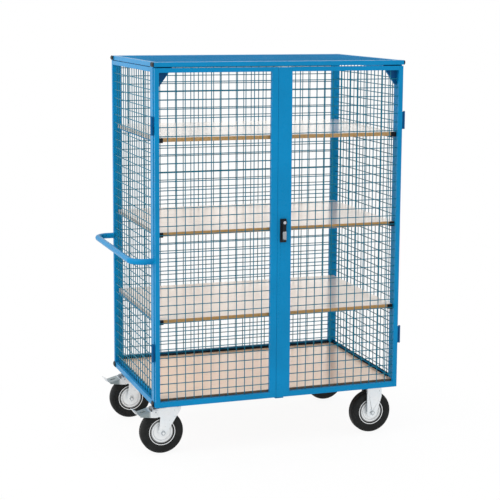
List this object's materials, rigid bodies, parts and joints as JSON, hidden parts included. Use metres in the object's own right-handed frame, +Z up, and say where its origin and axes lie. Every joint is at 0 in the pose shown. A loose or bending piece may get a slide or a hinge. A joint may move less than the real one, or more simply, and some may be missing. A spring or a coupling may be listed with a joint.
{
  "type": "mesh cupboard trolley",
  "caption": "Tall wire mesh cupboard trolley with double wing doors, wooden shelves, push handle, and fixed and braked swivel castors.",
  "frame": {"origin": "floor level, middle of the whole trolley's footprint with handle and lock lever", "axes": "+X from the push handle to the fixed castors, +Y from the doors to the back, +Z up"},
  "size_m": [1.2976, 0.8044, 1.77],
  "materials": {
    "blue_paint": "satin powder coat",
    "laminate_wood": "matt laminate",
    "black_plastic": "matt",
    "bright_chrome": "polished",
    "black_rubber": "matt rubber",
    "zinc_plated_steel": "bright zinc plate"
  },
  "bodies": {
    "cage": {"base_rails": "blue_paint", "base_cross_rails": "blue_paint", "castor_mount_plates": "blue_paint", "platform_board": "laminate_wood", "front_left_post": "blue_paint", "front_right_post": "blue_paint", "rear_left_post": "blue_paint", "rear_right_post": "blue_paint", "roof_front_rail": "blue_paint", "roof_rails": "blue_paint", "panel_rails": "blue_paint", "roof_mesh": "blue_paint", "rear_mesh": "blue_paint", "left_mesh": "blue_paint", "right_mesh": "blue_paint", "gusset_plates": "blue_paint", "tube_end_caps": "black_plastic", "push_handle": "blue_paint", "upper_shelf": "laminate_wood", "middle_shelf": "laminate_wood", "lower_shelf": "laminate_wood", "shelf_bearers": "blue_paint", "shelf_stops": "black_plastic", "hinge_post_leaves": "blue_paint", "lock_keeper": "blue_paint", "swivel_top_plates": "zinc_plated_steel", "swivel_king_pins": "zinc_plated_steel", "fixed_castor_brackets": "zinc_plated_steel", "fixed_castor_axles": "zinc_plated_steel", "castor_bolts": "zinc_plated_steel"},
    "left_door": {"left_door_stiles": "blue_paint", "left_door_rails": "blue_paint", "left_door_mesh": "blue_paint", "left_door_knuckles": "blue_paint"},
    "right_door": {"right_door_hinge_stile": "blue_paint", "right_door_lock_stile": "blue_paint", "right_door_rails": "blue_paint", "right_door_mesh": "blue_paint", "right_door_knuckles": "blue_paint", "lock_base_plate": "black_plastic", "lock_rod_guides": "zinc_plated_steel"},
    "lock_handle": {"lock_lever": "black_plastic", "lock_cylinder": "bright_chrome", "lock_cam": "zinc_plated_steel"},
    "upper_rod": {"upper_lock_rod": "zinc_plated_steel"},
    "lower_rod": {"lower_lock_rod": "zinc_plated_steel"},
    "front_swivel": {"front_swivel_fork": "zinc_plated_steel", "front_swivel_pins": "zinc_plated_steel"},
    "rear_swivel": {"rear_swivel_fork": "zinc_plated_steel", "rear_swivel_pins": "zinc_plated_steel"},
    "front_brake": {"front_brake_pedal": "zinc_plated_steel"},
    "rear_brake": {"rear_brake_pedal": "zinc_plated_steel"},
    "front_left_wheel": {"front_left_tyre": "black_rubber", "front_left_rim": "zinc_plated_steel"},
    "rear_left_wheel": {"rear_left_tyre": "black_rubber", "rear_left_rim": "zinc_plated_steel"},
    "front_right_wheel": {"front_right_tyre": "black_rubber", "front_right_rim": "zinc_plated_steel"},
    "rear_right_wheel": {"rear_right_tyre": "black_rubber", "rear_right_rim": "zinc_plated_steel"}
  },
  "joints": [
    {"name": "left_door_hinge", "type": "hinge", "parent": "cage", "child": "left_door", "pos_m": [-0.55425, -0.3678, 0.991], "axis": [0, 0, -1], "range_deg": [0, 180]},
    {"name": "right_door_hinge", "type": "hinge", "parent": "cage", "child": "right_door", "pos_m": [0.64375, -0.3678, 0.991], "axis": [0, 0, 1], "range_deg": [0, 180]},
    {"name": "lock_turn", "type": "hinge", "parent": "right_door", "child": "lock_handle", "pos_m": [0.0525, -0.3828, 1.05], "axis": [0, -1, 0], "range_deg": [0, 90]},
    {"name": "upper_rod_slide", "type": "slide", "parent": "right_door", "child": "upper_rod", "axis": [0, 0, 1], "range_m": [0, 0.016]},
    {"name": "lower_rod_slide", "type": "slide", "parent": "right_door", "child": "lower_rod", "axis": [0, 0, -1], "range_m": [0, 0.016]},
    {"name": "front_castor_swivel", "type": "hinge", "parent": "cage", "child": "front_swivel", "pos_m": [-0.45225, -0.2778, 0.215], "axis": [0, 0, 1], "continuous": true},
    {"name": "front_left_wheel_spin", "type": "hinge", "parent": "front_swivel", "child": "front_left_wheel", "pos_m": [-0.49225, -0.2778, 0.1], "axis": [0, 1, 0], "continuous": true},
    {"name": "front_right_wheel_spin", "type": "hinge", "parent": "cage", "child": "front_right_wheel", "pos_m": [0.53775, -0.2778, 0.1], "axis": [0, 1, 0], "continuous": true},
    {"name": "front_brake_press", "type": "hinge", "parent": "front_swivel", "child": "front_brake", "pos_m": [-0.52625, -0.2778, 0.2], "axis": [0, -1, 0], "range_deg": [0, 14]},
    {"name": "rear_castor_swivel", "type": "hinge", "parent": "cage", "child": "rear_swivel", "pos_m": [-0.45225, 0.3022, 0.215], "axis": [0, 0, 1], "continuous": true},
    {"name": "rear_left_wheel_spin", "type": "hinge", "parent": "rear_swivel", "child": "rear_left_wheel", "pos_m": [-0.49225, 0.3022, 0.1], "axis": [0, 1, 0], "continuous": true},
    {"name": "rear_right_wheel_spin", "type": "hinge", "parent": "cage", "child": "rear_right_wheel", "pos_m": [0.53775, 0.3022, 0.1], "axis": [0, 1, 0], "continuous": true},
    {"name": "rear_brake_press", "type": "hinge", "parent": "rear_swivel", "child": "rear_brake", "pos_m": [-0.52625, 0.3022, 0.2], "axis": [0, -1, 0], "range_deg": [0, 14]}
  ],
  "couplings": [
    {"joint": "lock_turn", "follows": "upper_rod_slide", "rad_per_m": 98.17},
    {"joint": "lower_rod_slide", "follows": "upper_rod_slide", "ratio": 1}
  ]
}
